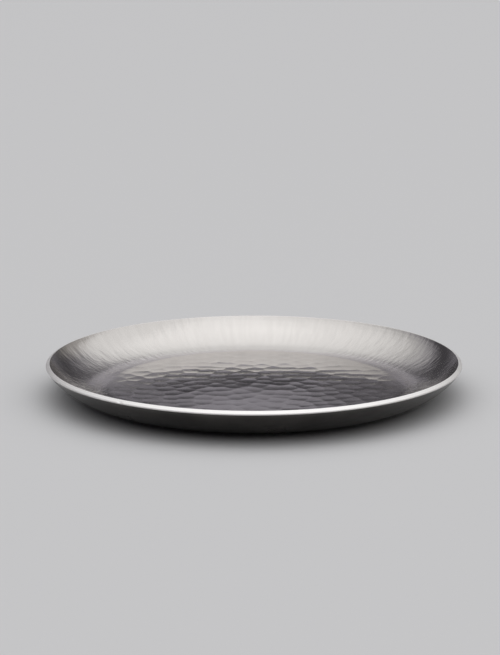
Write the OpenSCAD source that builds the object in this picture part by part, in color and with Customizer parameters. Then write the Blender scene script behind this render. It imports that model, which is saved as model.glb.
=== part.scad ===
// Hammered thali plate: one thick disc of metal, dished in a single sweep. The floor
// is beaten all over with a crowned hammer, the wall curves up to the rim in one arc, and
// the rim is cut square across the wall, which leaves a flat land with eased edges.

/* [Plate] */
// Overall diameter
plate_d = 305; // [240:1:360]
// Overall height
plate_h = 25; // [20:0.5:32]
// Thickness of the metal under the floor
base_t = 3.5; // [2:0.1:5]

/* [Rim] */
// Thickness of the metal at the rim, which is the width of the land
rim_t = 3.7; // [2:0.1:5]
// Slope of the wall where it meets the rim, in degrees above the table
rim_slope = 56; // [45:1:70]
// Rounding of the land's inner edge
inner_edge_r = 0.4; // [0.2:0.1:0.8]
// Rounding of the land's outer edge
outer_edge_r = 0.8; // [0.2:0.1:1]

/* [Hammer marks] */
// Usual distance from one blow to the next
mark_pitch = 13; // [12:0.5:24]
// Radius of the hammer's crowned face
mark_face_r = 100; // [80:5:200]
// How far a blow can stray from its place
mark_stray = 2.2; // [0:0.2:3]

/* [Hidden] */
$fn = 96;

// How far a cutting shape runs past the metal
overrun = 5;
// How far a curve runs past the face that it blends into, so that the two always cross
blend = 0.001;

// Radius of a mark as a share of the distance between two. The marks overlap, so nothing
// but low ridges is left between them.
mark_r_share = 0.68;
mark_r = mark_r_share * mark_pitch;
mark_depth = mark_r ^ 2 / mark_face_r / 2;
// How much deeper or shallower than usual a mark can be
depth_stray = 0.03;
// How far a mark's shape stands up out of the floor
mark_proud = 0.08;
// The blows lie in a spiral, like seeds in a sunflower, with this angle from each to the
// next. The area for each is that of a honeycomb with the same pitch.
golden_angle = 137.508;
spiral_share = sqrt(sqrt(3) / 2 / PI);
// Angles that turn a blow's number into its strays: outward, sideways and in depth
out_turn = 98.1;
side_turn = 61.8034;
depth_turn = 137.508;

// Directions at the rim: up along the wall, and out across it
along_wall = [cos(rim_slope), sin(rim_slope)];
across_wall = [sin(rim_slope), -cos(rim_slope)];

// The land's two edges before rounding. A rounding takes this share of its radius off
// the overall size, so the sharp edges stand that much further out.
rounding_share = sin(rim_slope) + cos(rim_slope) - 1;
outer_x = plate_d / 2 + outer_edge_r * rounding_share;
inner_y = plate_h + inner_edge_r * rounding_share;
inner_edge = [outer_x - rim_t * across_wall.x, inner_y];
outer_edge = inner_edge + rim_t * across_wall;

// Each side of the wall is an arc that leaves a flat level and ends at the rim's slope
function arc_radius(edge, level) = (edge.y - level + blend) / (1 - cos(rim_slope));
inner_arc_r = arc_radius(inner_edge, base_t);
outer_arc_r = arc_radius(outer_edge, 0);
inner_arc_centre = inner_edge - inner_arc_r * across_wall;
outer_arc_centre = outer_edge - outer_arc_r * across_wall;

// What lies above a flat level and inside the arc that it turns up into
module dish_profile(level, centre, arc_r) {
    translate([0, level]) square([centre.x, arc_r]);
    translate(centre) circle(r = arc_r);
}

// What lies past the land
module land_cut() {
    reach = plate_d + overrun;
    translate(outer_edge)
        rotate(rim_slope - 90)
            translate([-reach, 0]) square([reach + overrun, reach]);
}

// Middle of an edge's rounding, which touches the land and the wall.
// side is 1 where the metal is inside the wall's arc and -1 where it is outside.
function round_middle(centre, arc_r, round_r, side) =
    centre + sqrt((arc_r - side * round_r) ^ 2 - round_r ^ 2) * across_wall - round_r * along_wall;

// The corner of metal that a rounding does away with
module corner(centre, arc_r, round_r, side) {
    middle = round_middle(centre, arc_r, round_r, side);
    to_land = (round_r + overrun) * along_wall;
    to_wall = side * (round_r + overrun) * (middle - centre) / (arc_r - side * round_r);
    polygon([middle, middle + to_land, middle + to_land + to_wall, middle + to_wall]);
}

module rounding(centre, arc_r, round_r, side) {
    translate(round_middle(centre, arc_r, round_r, side)) circle(r = round_r + blend);
}

// Half of the plate's section
module plate_profile() {
    difference() {
        intersection() {
            dish_profile(0, outer_arc_centre, outer_arc_r);
            square([plate_d, plate_h + overrun]);
        }
        dish_profile(base_t, inner_arc_centre, inner_arc_r);
        land_cut();
        corner(inner_arc_centre, inner_arc_r, inner_edge_r, -1);
        corner(outer_arc_centre, outer_arc_r, outer_edge_r, 1);
    }
    rounding(inner_arc_centre, inner_arc_r, inner_edge_r, -1);
    rounding(outer_arc_centre, outer_arc_r, outer_edge_r, 1);
}

// A share from -1 to 1 that looks like chance and is always the same
function chance(number, turn) = sin(number ^ 2 * turn);

// What one blow takes out of the floor
module mark() {
    rotate_extrude() intersection() {
        translate([0, mark_face_r - mark_depth]) circle(r = mark_face_r);
        translate([0, -mark_face_r]) square([mark_face_r, mark_face_r + mark_proud]);
    }
}

// The blows, out to where the wall begins
module marks() {
    spread = spiral_share * mark_pitch;
    reach = inner_arc_centre.x - mark_r - mark_stray;
    for (number = [0 : floor((reach / spread) ^ 2)])
        rotate(number * golden_angle)
            translate([
                spread * sqrt(number + 0.5) + mark_stray * chance(number, out_turn),
                mark_stray * chance(number, side_turn),
                base_t + depth_stray * chance(number, depth_turn)
            ])
                mark();
}

module plate() {
    color("silver") difference() {
        rotate_extrude() plate_profile();
        marks();
    }
}

plate();
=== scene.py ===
import math

import bmesh
import bpy
import numpy as np
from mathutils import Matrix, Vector


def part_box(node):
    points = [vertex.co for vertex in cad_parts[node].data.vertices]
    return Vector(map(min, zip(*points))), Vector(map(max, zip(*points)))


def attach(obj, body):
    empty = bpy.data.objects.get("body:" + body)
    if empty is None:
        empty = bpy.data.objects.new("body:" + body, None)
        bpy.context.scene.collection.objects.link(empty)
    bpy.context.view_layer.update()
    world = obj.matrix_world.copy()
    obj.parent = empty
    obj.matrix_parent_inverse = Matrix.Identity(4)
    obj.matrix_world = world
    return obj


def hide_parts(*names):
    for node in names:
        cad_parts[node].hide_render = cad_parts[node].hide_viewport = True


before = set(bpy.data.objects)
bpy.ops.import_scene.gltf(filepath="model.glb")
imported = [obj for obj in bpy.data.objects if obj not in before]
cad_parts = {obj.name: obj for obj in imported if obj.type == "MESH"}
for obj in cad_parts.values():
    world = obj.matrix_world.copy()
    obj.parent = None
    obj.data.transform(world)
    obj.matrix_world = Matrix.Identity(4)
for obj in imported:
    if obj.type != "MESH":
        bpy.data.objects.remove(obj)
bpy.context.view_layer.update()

MM = 0.001

# The plate's section, in metres. Its overall sizes come from the frame.
low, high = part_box("plate")
PLATE_R = (high[0] - low[0]) / 2
PLATE_H = high[2] - low[2]
BASE_T = 3.5 * MM
RIM_T = 3.7 * MM
RIM_SLOPE = math.radians(56)
INNER_EDGE_R = 0.4 * MM
OUTER_EDGE_R = 0.8 * MM
FOOT_SOFT = 16 * MM  # the floor turns into the wall's arc over this length to either side
CROWN = 0.5 * MM  # how much higher the floor's middle stands than its edge
CROWN_R = 90 * MM

# Where the blows fell. Those on the floor lie in a spiral, like seeds in a sunflower, as in
# the part's source, and those on the wall in rings. The wall's are closer together.
GOLDEN_ANGLE = math.radians(137.508)
SPIRAL_SHARE = math.sqrt(math.sqrt(3) / 2 / math.pi)
FLOOR_PITCH = 13 * MM
FLOOR_STRAY = 2.2 * MM
FLOOR_MARGIN = 0.35  # share of the pitch that is left free inside the floor's edge
WALL_PITCH = 4.4 * MM
WALL_STRAY = 1.3 * MM
WALL_RINGS = 4
WALL_MARGIN = 0.3  # share of the floor's pitch between the two kinds
WALL_STRETCH = 0.5  # how much of a length up the wall counts when the marks are laid out
RING_TURN = 0.618  # each ring starts this share of a step further round
RING_NUMBERS = 1000  # a ring's blows are numbered from a multiple of this
# Angles that turn a blow's number into its strays
OUT_TURN = 98.1
SIDE_TURN = 61.8034
DEPTH_TURN = 137.508

# How the blows shaped the metal
FACE_R = 220 * MM  # crown of the hammer's face
FLOOR_MARK_SHARE = 0.68  # a mark's radius as a share of the pitch
WALL_MARK_SHARE = 0.62
MARK_DEPTH = (FLOOR_MARK_SHARE * FLOOR_PITCH) ** 2 / FACE_R / 2
DEPTH_STRAY = 0.03 * MM
WALL_DEPTH_STRAY = 0.2  # share of that on the wall
WALL_SHARE = 3.7  # how much deeper the wall's marks are than the floor's hammer makes them
FLOOR_SOFT = 0.009 * MM  # how much a ridge between two marks is rounded
WALL_SOFT = 0.014 * MM
MARK_BLEND = 16 * MM  # the floor's kind of marks turns into the wall's over this length
CALM = (-12 * MM, -38 * MM)  # the blows fell lighter round this place
CALM_R = 60 * MM
CALM_EDGE = 1.35  # they are as deep as elsewhere from this many times that radius
CALM_SHARE = 0.38
FOOT_IN = (90 * MM, 16 * MM)  # they fall lighter from here, within this length
FOOT_OUT = (140 * MM, 18 * MM)  # up to here on the wall
FOOT_SHARE = 0.35
RIM_FADE = 5 * MM  # the marks die out over this length below the rim
TILE = 20 * MM  # the surface is worked out a square at a time
REACH = 26 * MM  # how far outside its square a mark still counts

# Waves that keep the rim from being a true circle: how many round it, size and shift
RIM_LIFT = ((2, 3, 0.4), (3, 2, 2.0), (5, 2, 4.1), (9, 1, 1.0), (17, 0.6, 3.0))
RIM_SPREAD = ((2, 2, 1.4), (4, 2, 0.3), (7, 2, 2.7), (13, 1, 5.0), (23, 0.8, 2.0))
LAND_WAVE = ((31, 1, 0.3), (47, 1.2, 1.9), (73, 1, 4.4), (113, 0.8, 2.2), (167, 0.6, 0.9))
OUTSIDE_WAVE = ((19, 1, 1.1), (29, 1, 3.3), (43, 0.7, 0.2))
HAND = 0.13 * MM  # how far the rim strays from a true circle
LAND_HAND = 0.02 * MM
LAND_HAND_FADE = 1 * MM
OUTSIDE_HAND = 0.03 * MM
OUTSIDE_HAND_FADE = 6 * MM
OUTSIDE_TWIST = 3  # how far round the outside's waves turn on their way down
NICK_ANGLE = math.radians(-126.4)
NICK_DEPTH = 0.5 * MM
NICK_LENGTH = 1.3 * MM
NICK_HEIGHT = 0.9 * MM

# Mesh
FLOOR_STEP = 1.7 * MM
WALL_STEP = 1.9 * MM
RIM_SIDES = 720
RIM_REACH = 1.5 * FLOOR_PITCH  # how far along the rim it can cut into one cell
MERGE = 0.06 * MM  # points closer than this become one
CELL_RINGS = (0.1, 0.32, 0.62)
CELL_REACH = 2.6 * FLOOR_PITCH
CELL_NEIGHBOURS = 40
NORMAL_STEP = 0.08 * MM
NORMAL_LEAST_R = 2 * MM

# Lengths over which the masks for the material come and go
# The floor mask carries the floor's painted shade; its edge lies where the floor's dark
# reflection gives way to the wall's bright one
FLOOR_MASK = (20 * MM, 26 * MM)  # how far up the wall the first goes, and over what length
UPPER_MASK = (20 * MM, 12 * MM)  # the same, down from the rim
WALL_MASK = 6 * MM
LAND_MASK = 0.5 * MM
OUTSIDE_MASK = 1.5 * MM


class Profile:
    """The section as one line: floor, inside of the wall, land, outside of the wall, base.
    Its only coordinate is the length along it from the middle of the floor."""

    def __init__(self):
        s, c = math.sin(RIM_SLOPE), math.cos(RIM_SLOPE)
        along, across = np.array([c, s]), np.array([s, -c])
        spare = s + c - 1
        outer_x = PLATE_R + OUTER_EDGE_R * spare
        inner = np.array([outer_x - RIM_T * s, PLATE_H + INNER_EDGE_R * spare])
        outer = inner + RIM_T * across
        self.inner_r = (inner[1] - BASE_T) / (1 - c)
        self.outer_r = outer[1] / (1 - c)
        inner_mid = inner - self.inner_r * across
        outer_mid = outer - self.outer_r * across
        self.floor_r, self.foot_r = inner_mid[0], outer_mid[0]

        def round_middle(mid, arc_r, round_r, side):
            reach = arc_r - side * round_r
            at = mid + math.sqrt(reach**2 - round_r**2) * across - round_r * along
            return at, math.asin((at[0] - mid[0]) / reach)

        self.inner_round, inner_end = round_middle(inner_mid, self.inner_r, INNER_EDGE_R, -1)
        self.outer_round, outer_end = round_middle(outer_mid, self.outer_r, OUTER_EDGE_R, 1)
        self.land_start = self.inner_round + INNER_EDGE_R * along
        self.across = across
        self.inner_mid, self.outer_mid = inner_mid, outer_mid
        self.inner_end, self.outer_end = inner_end, outer_end
        land = np.dot(self.outer_round - self.inner_round, across)
        lengths = (
            self.floor_r,
            self.inner_r * inner_end,
            INNER_EDGE_R * (math.pi / 2 + inner_end - RIM_SLOPE),
            land,
            OUTER_EDGE_R * (math.pi / 2 + RIM_SLOPE - outer_end),
            self.outer_r * outer_end,
            self.foot_r,
        )
        self.ends = np.concatenate([[0], np.cumsum(lengths)])

    def at(self, u):
        """Radius, height and outward normal at each length."""
        u = np.asarray(u, float)
        e = self.ends
        part = np.clip(np.searchsorted(e, u, side="left") - 1, 0, 6)
        t = u - e[part]
        r, z, turn = (np.zeros_like(u) for _ in range(3))

        def put(which, rr, zz, tt):
            m = part == which
            r[m], z[m], turn[m] = rr[m], zz[m], tt[m]

        flat = np.zeros_like(u)
        put(0, t, flat + BASE_T, flat + math.pi / 2)
        a = t / self.inner_r
        put(1, self.inner_mid[0] + self.inner_r * np.sin(a),
            self.inner_mid[1] - self.inner_r * np.cos(a), a + math.pi / 2)
        a = math.pi / 2 + self.inner_end - t / INNER_EDGE_R
        put(2, self.inner_round[0] + INNER_EDGE_R * np.cos(a),
            self.inner_round[1] + INNER_EDGE_R * np.sin(a), a)
        put(3, self.land_start[0] + t * self.across[0],
            self.land_start[1] + t * self.across[1], flat + RIM_SLOPE)
        a = RIM_SLOPE - t / OUTER_EDGE_R
        put(4, self.outer_round[0] + OUTER_EDGE_R * np.cos(a),
            self.outer_round[1] + OUTER_EDGE_R * np.sin(a), a)
        a = self.outer_end - t / self.outer_r
        put(5, self.outer_mid[0] + self.outer_r * np.sin(a),
            self.outer_mid[1] - self.outer_r * np.cos(a), a - math.pi / 2)
        put(6, self.foot_r - t, flat, flat - math.pi / 2)
        return r, z, np.cos(turn), np.sin(turn)


profile = Profile()
FLOOR_END, WALL_END, LAND_START, LAND_END, EDGE_END, FOOT, BASE_MID = profile.ends[1:]

# Rings of the mesh past the wall: where each run of them starts and ends, and how many
RINGS = (
    (WALL_END, LAND_START, 4),
    (LAND_START, LAND_END, 3),
    (LAND_END, EDGE_END, 5),
    (EDGE_END, FOOT, 15),
    (FOOT, FOOT + profile.foot_r * 0.1, 1),
)


def to_plan(u):
    """Distance from the middle in the plan that the marks are laid out in."""
    return np.where(u < FLOOR_END, u, FLOOR_END + WALL_STRETCH * (u - FLOOR_END))


def from_plan(rho):
    return np.where(rho < FLOOR_END, rho, FLOOR_END + (rho - FLOOR_END) / WALL_STRETCH)


PLAN_R = float(to_plan(WALL_END))
SIDE_R = PLAN_R * math.cos(math.pi / RIM_SIDES)  # to the middle of one of the rim's sides


def wave(n, turn):
    """A number from -1 to 1 that looks random, the same on every run."""
    return math.sin(math.radians(n**2 * turn))


def blow(radius, angle, stray, number):
    """Where a blow fell in the plan, and a share of how much deeper than usual it went."""
    out = radius + stray * wave(number, OUT_TURN)
    aside = stray * wave(number, SIDE_TURN)
    c, s = math.cos(angle), math.sin(angle)
    return out * c - aside * s, out * s + aside * c, wave(number, DEPTH_TURN)


def blows():
    found = []
    spread = FLOOR_PITCH * SPIRAL_SHARE
    last = FLOOR_END - FLOOR_PITCH * FLOOR_MARGIN
    for n in range(round((last / spread) ** 2)):
        found.append(blow(spread * math.sqrt(n + 0.5), n * GOLDEN_ANGLE, FLOOR_STRAY, n))
    first = last + WALL_MARGIN * FLOOR_PITCH + WALL_PITCH / 2
    gap = (PLAN_R - first) / WALL_RINGS
    for ring in range(WALL_RINGS + 1):
        radius = first + ring * gap
        count = round(2 * math.pi * radius / WALL_PITCH)
        for i in range(count):
            angle = 2 * math.pi * (i + RING_TURN * ring) / count
            found.append(blow(radius, angle, WALL_STRAY, RING_NUMBERS * (ring + 1) + i))
    return np.array(found)


BLOWS = blows()
CENTRES = BLOWS[:, :2]
ON_FLOOR = np.hypot(*CENTRES.T) < FLOOR_END
DEPTHS = -DEPTH_STRAY * BLOWS[:, 2] * np.where(ON_FLOOR, 1, WALL_DEPTH_STRAY)


def smooth_step(x):
    x = np.clip(x, 0, 1)
    return x * x * (3 - 2 * x)


def hammered(u, angle):
    """How far the marks take the surface in, at each place on the inside."""
    q = to_plan(u)[:, None] * np.stack([np.cos(angle), np.sin(angle)], 1)
    depth = np.empty(len(u))
    wall = smooth_step((u - FLOOR_END + MARK_BLEND / 2) / MARK_BLEND)
    soft = FLOOR_SOFT + (WALL_SOFT - FLOOR_SOFT) * wall
    tile = np.floor(q / TILE).astype(int)
    for corner in np.unique(tile, axis=0):
        part = np.flatnonzero((tile == corner).all(1))
        off = np.abs(CENTRES - (corner + 0.5) * TILE).max(1)
        close = off < TILE / 2 + REACH
        gap = ((q[part, None, :] - CENTRES[None, close]) ** 2).sum(2)
        bowl = gap / (2 * FACE_R) - DEPTHS[close]
        least = bowl.min(1)
        k = soft[part]
        depth[part] = least - k * np.log(np.exp((least[:, None] - bowl) / k[:, None]).sum(1))
    calm = np.hypot(q[:, 0] - CALM[0], q[:, 1] - CALM[1]) / CALM_R
    calmed = 1 - (1 - CALM_SHARE) * smooth_step(CALM_EDGE - calm)
    floor_depth = np.minimum(depth - MARK_DEPTH, 0) * calmed
    wall_depth = WALL_SHARE * (depth - (WALL_MARK_SHARE * WALL_PITCH) ** 2 / FACE_R / 2)
    (foot_in, in_length), (foot_out, out_length) = FOOT_IN, FOOT_OUT
    foot = smooth_step((u - foot_in) / in_length) * smooth_step((foot_out - u) / out_length)
    fade = smooth_step((WALL_END - u) / RIM_FADE) * (1 - (1 - FOOT_SHARE) * foot)
    return (floor_depth + (wall_depth - floor_depth) * wall) * fade


def uneven(angle, parts):
    """A slow wave round the plate, from -1 to 1."""
    total = sum(size for _, size, _ in parts)
    return sum(size * np.sin(n * angle + shift) for n, size, shift in parts) / total


def softened_foot(u):
    """How far in the surface moves where the floor turns gently into the wall."""
    t = u - FLOOR_END
    near = np.clip(t, -FOOT_SOFT, FOOT_SOFT)
    rise = (near + FOOT_SOFT) ** 3 / (12 * FOOT_SOFT * profile.inner_r)
    rise -= np.clip(t, 0, FOOT_SOFT) ** 2 / (2 * profile.inner_r)
    return rise * smooth_step((WALL_END - u) / (WALL_END - FLOOR_END - FOOT_SOFT))


def surface(u, angle):
    """Points on the finished plate."""
    u, angle = np.asarray(u, float), np.asarray(angle, float)
    r, z, nr, nz = profile.at(u)
    push = np.zeros_like(u)
    inside = u <= WALL_END
    if inside.any():
        push[inside] = hammered(u[inside], angle[inside])
        push[inside] += CROWN * (1 - np.minimum(u[inside] / CROWN_R, 1) ** 2) ** 2
        push[inside] += softened_foot(u[inside])
    length = LAND_HAND_FADE
    land = smooth_step((u - WALL_END) / length) * smooth_step((EDGE_END - u) / length)
    push += LAND_HAND * land * uneven(angle, LAND_WAVE)
    length = OUTSIDE_HAND_FADE
    outside = smooth_step((u - EDGE_END) / length) * smooth_step((FOOT - u) / length)
    around = angle + OUTSIDE_TWIST * (u - EDGE_END) / (FOOT - EDGE_END)
    push += OUTSIDE_HAND * outside * uneven(around, OUTSIDE_WAVE)
    off = (angle - NICK_ANGLE + math.pi) % (2 * math.pi) - math.pi
    near = (off * PLATE_R / NICK_LENGTH) ** 2 + ((u - LAND_END) / NICK_HEIGHT) ** 2
    push -= NICK_DEPTH * np.exp(-near)
    rim = smooth_step((u - FLOOR_END) / (WALL_END - FLOOR_END))
    rim = rim * smooth_step((FOOT - u) / (FOOT - EDGE_END))
    r = r + nr * push + HAND * rim * (uneven(angle, RIM_SPREAD) - 1) / 2
    z = z + nz * push + HAND * rim * (uneven(angle, RIM_LIFT) - 1) / 2
    return np.stack([r * np.cos(angle), r * np.sin(angle), z], 1)


def normals(u, angle):
    """Unit normals of the finished plate, from small steps along it and round it."""
    lo, hi = np.clip(u - NORMAL_STEP, 0, BASE_MID), np.clip(u + NORMAL_STEP, 0, BASE_MID)
    same = (u <= WALL_END) & (hi > WALL_END)
    hi = np.where(same, WALL_END, hi)
    turn = NORMAL_STEP / np.maximum(profile.at(u)[0], NORMAL_LEAST_R)
    along = surface(hi, angle) - surface(lo, angle)
    around = surface(u, angle + turn) - surface(u, angle - turn)
    n = np.cross(along, around)
    n[u >= BASE_MID] = (0, 0, -1)
    return n / np.linalg.norm(n, axis=1)[:, None]


def clip(polygon, point, normal):
    """The part of a polygon on the side of a line that its normal points away from."""
    kept = []
    side = [(x - point[0]) * normal[0] + (y - point[1]) * normal[1] for x, y in polygon]
    for i, (x, y) in enumerate(polygon):
        j = (i + 1) % len(polygon)
        if side[i] <= 0:
            kept.append((x, y))
        if (side[i] < 0 < side[j]) or (side[j] < 0 < side[i]):
            t = side[i] / (side[i] - side[j])
            kept.append((x + t * (polygon[j][0] - x), y + t * (polygon[j][1] - y)))
    return kept


def cell(i):
    """The outline of the area where blow i went deepest, clipped by the wall's end."""
    c = CENTRES[i]
    gap = np.hypot(*(CENTRES - c).T)
    corners = ((-1, -1), (1, -1), (1, 1), (-1, 1))
    polygon = [(c[0] + CELL_REACH * x, c[1] + CELL_REACH * y) for x, y in corners]
    for j in np.argsort(gap)[1:CELL_NEIGHBOURS]:
        if gap[j] > CELL_REACH:
            break
        way = (CENTRES[j] - c) / gap[j]
        share = gap[j] / 2 + FACE_R * (DEPTHS[i] - DEPTHS[j]) / gap[j]
        polygon = clip(polygon, c + way * share, way)
    if max(math.hypot(x, y) for x, y in polygon) > SIDE_R:
        middle = math.floor(math.atan2(c[1], c[0]) / (2 * math.pi) * RIM_SIDES)
        spread = round(RIM_REACH / PLAN_R / (2 * math.pi) * RIM_SIDES)
        for k in range(middle - spread, middle + spread + 1):
            a = 2 * math.pi * (k + 0.5) / RIM_SIDES
            way = (math.cos(a), math.sin(a))
            polygon = clip(polygon, (SIDE_R * way[0], SIDE_R * way[1]), way)
            if len(polygon) < 3:
                return []
    return polygon


def plan_mesh():
    """Points, faces and rim of the inside, in the plan. Every ridge is a line of edges."""
    bm = bmesh.new()
    for i in range(len(CENTRES)):
        corners = cell(i)
        if len(corners) < 3:
            continue
        outline = []
        for a, b in zip(corners, corners[1:] + corners[:1]):
            a, b = Vector(a), Vector(b)
            step = FLOOR_STEP if (a + b).length / 2 < FLOOR_END else WALL_STEP
            pieces = max(1, math.ceil(round((b - a).length / step, 6)))
            outline += [a.lerp(b, k / pieces) for k in range(pieces)]
        middle = sum(outline, Vector((0, 0))) / len(outline)
        last = [bm.verts.new((*p, 0)) for p in outline]
        for t in CELL_RINGS:
            ring = [bm.verts.new((*p.lerp(middle, t), 0)) for p in outline]
            for k in range(len(ring)):
                m = (k + 1) % len(ring)
                bm.faces.new((last[k], last[m], ring[m], ring[k]))
            last = ring
        tip = bm.verts.new((*middle, 0))
        for k in range(len(last)):
            bm.faces.new((last[k], last[(k + 1) % len(last)], tip))
    bmesh.ops.remove_doubles(bm, verts=bm.verts, dist=MERGE)
    bm.verts.index_update()
    points = [v.co[:2] for v in bm.verts]
    faces = [[v.index for v in f.verts] for f in bm.faces]
    edge = [v.index for v in bm.verts if v.is_boundary]
    bm.free()
    return np.array(points), faces, edge


def masks(u, angle):
    """What the material needs to know about each point."""
    inside = u <= WALL_END
    hollow = np.zeros(len(u))
    hollow[inside] = np.clip(-hammered(u[inside], angle[inside]) / MARK_DEPTH, 0, 1)
    land = smooth_step((u - WALL_END) / LAND_MASK) * smooth_step((EDGE_END - u) / LAND_MASK)
    return {
        "hollow": hollow * (u < FLOOR_END),
        # where the floor's painted shade lies
        "floor": smooth_step((FLOOR_END + FLOOR_MASK[0] - u) / FLOOR_MASK[1]),
        "wall": smooth_step((u - FLOOR_END) / WALL_MASK) * inside,
        "upper_wall": smooth_step((u - WALL_END + UPPER_MASK[0]) / UPPER_MASK[1]) * inside,
        "land": land,
        "outside": smooth_step((u - LAND_END) / OUTSIDE_MASK),
    }


def plate_object():
    plan, faces, edge = plan_mesh()
    angle = np.arctan2(plan[:, 1], plan[:, 0])
    u = np.minimum(from_plan(np.hypot(plan[:, 0], plan[:, 1])), WALL_END)
    u[edge] = WALL_END

    # Rings carry the mesh on over the land and down the outside to the base
    last = sorted(edge, key=lambda v: angle[v])
    round_rim = angle[last]
    sides = len(last)
    for start, end, count in RINGS:
        for k in range(count):
            ring = list(range(len(u), len(u) + sides))
            u = np.append(u, np.full(sides, start + (end - start) * (k + 1) / count))
            angle = np.append(angle, round_rim)
            for a in range(sides):
                b = (a + 1) % sides
                faces.append((last[b], last[a], ring[a], ring[b]))
            last = ring
    faces += [(last[(a + 1) % sides], last[a], len(u)) for a in range(sides)]
    u, angle = np.append(u, BASE_MID), np.append(angle, 0)

    mesh = bpy.data.meshes.new("hammered_plate")
    mesh.from_pydata(surface(u, angle).tolist(), [], faces)
    mesh.polygons.foreach_set("use_smooth", [True] * len(mesh.polygons))
    mesh.normals_split_custom_set_from_vertices(normals(u, angle).tolist())
    for name, values in masks(u, angle).items():
        mesh.attributes.new(name, "FLOAT", "POINT").data.foreach_set("value", values)
    plate = bpy.data.objects.new("hammered_plate", mesh)
    bpy.context.scene.collection.objects.link(plate)
    return plate


class Nodes:
    """Short calls for the nodes of one material."""

    def __init__(self, name):
        self.material = bpy.data.materials.new(name)
        self.material.use_nodes = True
        self.tree = self.material.node_tree
        self.shader = self.tree.nodes["Principled BSDF"]

    def make(self, kind, inputs=None, output=0, **settings):
        made = self.tree.nodes.new("ShaderNode" + kind)
        for name, value in settings.items():
            setattr(made, name, value)
        for name, value in (inputs or {}).items():
            self.put(made.inputs[name], value)
        return made.outputs[output]

    def put(self, socket, value):
        if isinstance(value, bpy.types.NodeSocket):
            self.tree.links.new(value, socket)
        else:
            socket.default_value = value

    def times(self, a, b):
        return self.math("MULTIPLY", a, b)

    def math(self, operation, a, b):
        return self.make("Math", {0: a, 1: b}, operation=operation)

    def mask(self, name):
        return self.make("Attribute", output="Fac", attribute_name=name)

    def noise(self, vector, scale, detail=2.0, roughness=0.5):
        """Noise from about 0.3 to 0.7."""
        inputs = {"Vector": vector, "Scale": scale, "Detail": detail, "Roughness": roughness}
        return self.make("TexNoise", inputs)

    def spread(self, value, low, high, to_low=0.0, to_high=1.0):
        return self.make("MapRange", {0: value, 1: low, 2: high, 3: to_low, 4: to_high})

    def mix(self, share, a, b):
        return self.make("Mix", {0: share, 2: a, 3: b}, data_type="FLOAT")

    def mix_colour(self, share, a, b):
        return self.make("Mix", {0: share, 6: a, 7: b}, output=2, data_type="RGBA")

    def surface_for(self, values):
        for name, value in values.items():
            self.put(self.shader.inputs[name], value)
        return self.material


# The metal's colours, among them painted shade on the floor, on the floor's right side and on
# the outside; its roughness from the least to the most, and what noise gives both
# painted shade: the floor's metal is darker than the wall's and stands in for the floor's
# darker reflections; its two tones vary at random
FLOOR_PAINTED_SHADE_DARK, FLOOR_PAINTED_SHADE_LIGHT = (0.45, 0.433, 0.422, 1), (0.505, 0.486, 0.473, 1)
WALL_SHADE, WALL_SILVER = (0.665, 0.64, 0.62, 1), (0.695, 0.67, 0.65, 1)
# painted shade: the outside of the wall is near black, as if it lay in the plate's own shadow
OUTSIDE_PAINTED_SHADE_DARK, OUTSIDE_PAINTED_SHADE_LIGHT = (0.06, 0.056, 0.053, 1), (0.1, 0.094, 0.088, 1)
# the second colour is painted shade for the floor's right side
RIDGE_SILVER, RIGHT_PAINTED_SHADE = (0.68, 0.655, 0.637, 1), (0.32, 0.30, 0.29, 1)
LAND_SILVER = (0.98, 0.965, 0.955, 1)
FLOOR_ROUGH, WALL_ROUGH = (0.09, 0.13), (0.11, 0.16)
BACK_ROUGH, LAND_ROUGH = (0.18, 0.28), (0.44, 0.56)
COLOUR_NOISE, ROUGH_NOISE = (0.35, 0.65), (0.3, 0.7)
RIDGE_SHARE, RIDGE_FALL = 0.3, 0.6  # share of a ridge's colour, and how depth takes it away
RIGHT_SHADE_START, RIGHT_SHADE_END = 45 * MM, 110 * MM  # painted shade: the floor's colour darkens toward its right side

# How much each fine pattern adds to the bump
GRAIN_UP, WALL_LINES_UP, DENTS_UP, RINGS_UP = 0.35, 0.6, 22.0, 15.0
BUMP_STRENGTH, BUMP_DISTANCE = 0.25, 0.00003


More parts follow.
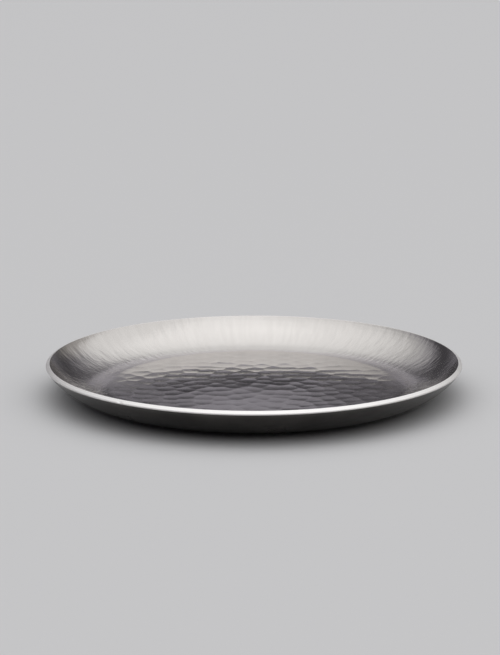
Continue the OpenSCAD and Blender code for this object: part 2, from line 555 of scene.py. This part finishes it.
def plate_metal():
    n = Nodes("plate_metal")
    place = n.make("TexCoord", output="Object")
    flat = n.make("VectorMath", {0: place, 1: (1, 1, 0)}, operation="MULTIPLY")
    way = n.make("VectorMath", {0: flat}, operation="NORMALIZE")
    radius = n.make("VectorMath", {0: flat}, output="Value", operation="LENGTH")

    def polar(round_scale, out_scale):
        """Coordinates whose noise is long across the finer of the two scales."""
        turned = n.make("VectorMath", {0: way, 3: round_scale}, operation="SCALE")
        out = n.make("CombineXYZ", {"Z": n.times(radius, out_scale)})
        return n.make("VectorMath", {0: turned, 1: out}, operation="ADD")

    wall, land, outside = n.mask("wall"), n.mask("land"), n.mask("outside")
    floor, hollow = n.mask("floor"), n.mask("hollow")
    cloud = n.noise(place, scale=28.0, detail=3.0)
    grain = n.noise(place, scale=900.0, detail=2.0)
    streaks = n.noise(polar(34.0, 45.0), scale=1.0, detail=3.0, roughness=0.6)  # up the wall
    lines = n.noise(polar(2.2, 2600.0), scale=1.0, detail=3.0, roughness=0.7)  # round the plate
    dents = n.noise(polar(43.0, 170.0), scale=1.0)  # the lightest blows on the wall
    rings = n.noise(polar(1.5, 450.0), scale=1.0)  # coarser lines below the rim

    def two_tone(noise, dark, light):
        return n.mix_colour(n.spread(noise, *COLOUR_NOISE), dark, light)

    def rough_from(noise, ends):
        return n.spread(noise, *ROUGH_NOISE, *ends)

    # the floor's painted shade, in two random tones
    colour = two_tone(cloud, FLOOR_PAINTED_SHADE_DARK, FLOOR_PAINTED_SHADE_LIGHT)
    ridge = n.math("SUBTRACT", RIDGE_SHARE, n.times(hollow, RIDGE_FALL))
    colour = n.mix_colour(ridge, colour, RIDGE_SILVER)
    # painted shade darkens the floor toward its right side
    right_shade = n.spread(n.make("SeparateXYZ", {0: place}), RIGHT_SHADE_START, RIGHT_SHADE_END)
    colour = n.mix_colour(right_shade, colour, RIGHT_PAINTED_SHADE)
    # up the wall, the floor's painted shade gives way to the wall's own streaked colour
    colour = n.mix_colour(floor, two_tone(streaks, WALL_SHADE, WALL_SILVER), colour)
    # painted shade darkens the outside of the wall nearly to black
    colour = n.mix_colour(outside, colour, two_tone(cloud, OUTSIDE_PAINTED_SHADE_DARK, OUTSIDE_PAINTED_SHADE_LIGHT))
    colour = n.mix_colour(land, colour, LAND_SILVER)

    rough = n.mix(wall, rough_from(cloud, FLOOR_ROUGH), rough_from(streaks, WALL_ROUGH))
    rough = n.mix(outside, rough, rough_from(cloud, BACK_ROUGH))
    rough = n.mix(land, rough, rough_from(grain, LAND_ROUGH))

    height = n.times(grain, GRAIN_UP)
    for pattern, size in (
        (lines, n.math("MAXIMUM", land, n.times(wall, WALL_LINES_UP))),
        (dents, n.times(wall, DENTS_UP)),
        (rings, n.times(n.mask("upper_wall"), RINGS_UP)),
    ):
        height = n.math("ADD", height, n.times(pattern, size))
    bump = {"Strength": BUMP_STRENGTH, "Distance": BUMP_DISTANCE, "Height": height}
    return n.surface_for({
        "Base Color": colour,
        "Metallic": 1.0,
        "Roughness": rough,
        "Normal": n.make("Bump", bump),
    })


FLOOR_R = 40
FLOOR_SIDES = 96
FLOOR_LOOK = {"Base Color": (0.74, 0.74, 0.75, 1), "Roughness": 0.8, "Specular IOR Level": 0.2}


def studio_floor():
    bm = bmesh.new()
    bmesh.ops.create_circle(bm, cap_ends=True, segments=FLOOR_SIDES, radius=FLOOR_R)
    mesh = bpy.data.meshes.new("studio_floor")
    bm.to_mesh(mesh)
    bm.free()
    floor = bpy.data.objects.new("studio_floor", mesh)
    bpy.context.scene.collection.objects.link(floor)
    floor.data.materials.append(Nodes("studio_floor").surface_for(FLOOR_LOOK))


# The sky's light by elevation in degrees: to the left, in the middle and to the right
LEFT_SKY = (
    (0, 0.2), (7, 0.12), (13, 0.06), (18, 0.05), (20, 0.07), (24, 0.22), (30, 0.43),
    (34, 0.53), (40, 0.71), (47, 0.86), (57, 0.98), (70, 1.06), (90, 1.2),
)
MIDDLE_SKY = (
    (0, 0.16), (7, 0.11), (12, 0.05), (13.5, 0.05), (18, 0.07), (22, 0.13), (25, 0.23),
    (28, 0.31), (31, 0.52), (34, 0.7), (40, 0.88), (47, 0.99), (57, 1.08), (75, 1.15),
    (90, 1.2),
)
RIGHT_SKY = (
    (0, 0.08), (10, 0.15), (14, 0.24), (18, 0.34), (24, 0.4), (28, 0.62), (34, 0.86),
    (45, 0.91), (57, 0.94), (68, 1.02), (80, 1.1), (90, 1.2),
)
# Share of the middle part, and then of the right one, by how far right a direction points
LEFT_SIDE = ((-0.3, 0), (-0.03, 1))
RIGHT_SIDE = ((0.35, 0), (0.56, 1))

# What is added behind the plate: light by elevation, how far right its middle is, and its
# share by how far to either side of that a direction points
BAND = ((14.3, 0), (15.3, 0.37), (16.3, 0.36), (17.5, 0.21), (20, 0.08), (24, 0))
GLOW = ((17, 0), (20, 0.1), (25, 0.29), (29, 0.35), (33, 0.28), (37, 0.1), (41, 0))
LEFT_GAP = ((11, 0), (13, 0.14), (15, 0.14), (18, 0))
RIGHT_GAP = ((11, 0), (13, 0.08), (15, 0.08), (18, 0))
ADDED = (
    (BAND, 0, ((0.03, 1), (0.085, 0))),
    (GLOW, 0, ((0.035, 1), (0.085, 0))),
    (LEFT_GAP, -0.081, ((0.015, 1), (0.035, 0))),
    (RIGHT_GAP, 0.08, ((0.015, 1), (0.035, 0))),
)

# The low light is bluish, but to the right less of its blue is left
TINT = ((0, (1.04, 1, 1.11)), (20, (1.04, 1, 1.11)), (34, (1, 1, 1)))
RIGHT_BLUE = ((20, 34), (0.87, 1))
# Share of the light that is left, by how far a direction points to the far side
CAMERA_SIDE = ((-1, 0.3), (-0.62, 1))


def ramp(tree, value, stops):
    """A colour ramp whose stops are grey levels or colours."""
    made = tree.nodes.new("ShaderNodeValToRGB")
    tree.links.new(value, made.inputs[0])
    points = made.color_ramp.elements
    for i, (position, light) in enumerate(stops):
        point = points[i] if i < 2 else points.new(position)
        point.position = position
        point.color = (*np.broadcast_to(light, 3), 1)
    return made.outputs[0]


def studio_sky():
    world = bpy.data.worlds.new("studio")
    bpy.context.scene.world = world
    world.use_nodes = True
    tree = world.node_tree
    place = tree.nodes.new("ShaderNodeTexCoord")
    split = tree.nodes.new("ShaderNodeSeparateXYZ")
    tree.links.new(place.outputs["Generated"], split.inputs[0])
    to_right, to_far, up = split.outputs

    def by_height(stops):
        return ramp(tree, up, [(math.sin(math.radians(e)), light) for e, light in stops])

    def share(value, stops):
        made = tree.nodes.new("ShaderNodeMapRange")
        tree.links.new(value, made.inputs["Value"])
        (made.inputs["From Min"].default_value, made.inputs["To Min"].default_value) = stops[0]
        (made.inputs["From Max"].default_value, made.inputs["To Max"].default_value) = stops[1]
        return made.outputs[0]

    def distance_from(middle):
        off = tree.nodes.new("ShaderNodeMath")
        off.operation = "SUBTRACT"
        tree.links.new(to_right, off.inputs[0])
        off.inputs[1].default_value = middle
        size = tree.nodes.new("ShaderNodeMath")
        size.operation = "ABSOLUTE"
        tree.links.new(off.outputs[0], size.inputs[0])
        return size.outputs[0]

    def vector_math(operation, a, b):
        made = tree.nodes.new("ShaderNodeVectorMath")
        made.operation = operation
        tree.links.new(a, made.inputs[0])
        tree.links.new(b, made.inputs["Scale" if operation == "SCALE" else 1])
        return made.outputs[0]

    light = by_height(LEFT_SKY)
    right_sky = [(e, (v, v, v * np.interp(e, *RIGHT_BLUE))) for e, v in RIGHT_SKY]
    for stops, side in ((MIDDLE_SKY, LEFT_SIDE), (right_sky, RIGHT_SIDE)):
        mixed = tree.nodes.new("ShaderNodeMix")
        mixed.data_type = "RGBA"
        tree.links.new(share(to_right, side), mixed.inputs[0])
        tree.links.new(light, mixed.inputs[6])
        tree.links.new(by_height(stops), mixed.inputs[7])
        light = mixed.outputs[2]
    for stops, middle, side in ADDED:
        extra = vector_math("SCALE", by_height(stops), share(distance_from(middle), side))
        light = vector_math("ADD", light, extra)
    light = vector_math("MULTIPLY", light, by_height(TINT))
    light = vector_math("SCALE", light, share(to_far, CAMERA_SIDE))
    tree.links.new(light, tree.nodes["Background"].inputs["Color"])


def camera():
    """The photograph's view, from circles fitted to the rim's two edges."""
    elevation, pitch = math.radians(13.378), math.radians(12.397)
    yaw, roll = math.radians(0.017), math.radians(0.082)
    distance, aside = 1.3047, -0.00207
    data = bpy.data.cameras.new("camera")
    data.sensor_fit = "HORIZONTAL"
    data.sensor_width = 24
    data.lens = 85
    data.clip_end = 100
    cam = bpy.data.objects.new("camera", data)
    bpy.context.scene.collection.objects.link(cam)
    back, up = distance * math.cos(elevation), distance * math.sin(elevation)
    cam.location = (aside, -back, PLATE_H + up)
    cam.rotation_euler = (math.pi / 2 - pitch, roll, yaw)
    bpy.context.scene.camera = cam


plate = plate_object()
plate.data.materials.append(plate_metal())
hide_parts("plate")
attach(plate, "root")
studio_floor()
studio_sky()
camera()
bpy.context.scene.view_settings.view_transform = "Standard"
